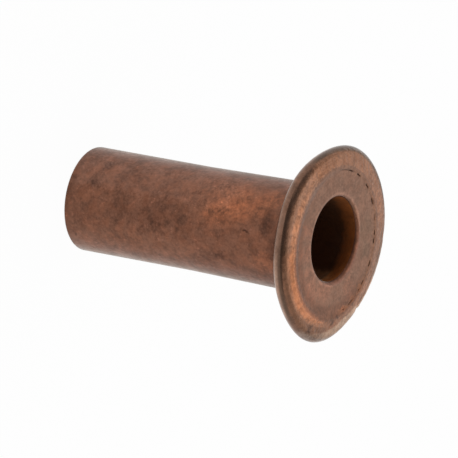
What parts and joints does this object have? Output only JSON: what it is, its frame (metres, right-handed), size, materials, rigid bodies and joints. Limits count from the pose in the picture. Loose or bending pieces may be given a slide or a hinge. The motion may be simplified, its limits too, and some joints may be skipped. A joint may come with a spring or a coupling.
{
  "type": "tubular rivet",
  "caption": "Tubular copper rivet with a thin-walled hollow shank and a broad flat head; the shank passes through a hole and its plain end is rolled over to hold sheets together.",
  "frame": {"origin": "centre of the plain end, on the surface that the rivet stands on", "axes": "+Z along the rivet's axis, from the plain end to the head; X and Y are free, because the rivet is round"},
  "size_m": [0.0092, 0.0092, 0.0138],
  "materials": {
    "copper": "tarnished copper, mottled and worn, with a smooth pressed flat on the head"
  },
  "bodies": {
    "root": {"rivet": "copper"}
  },
  "joints": []
}
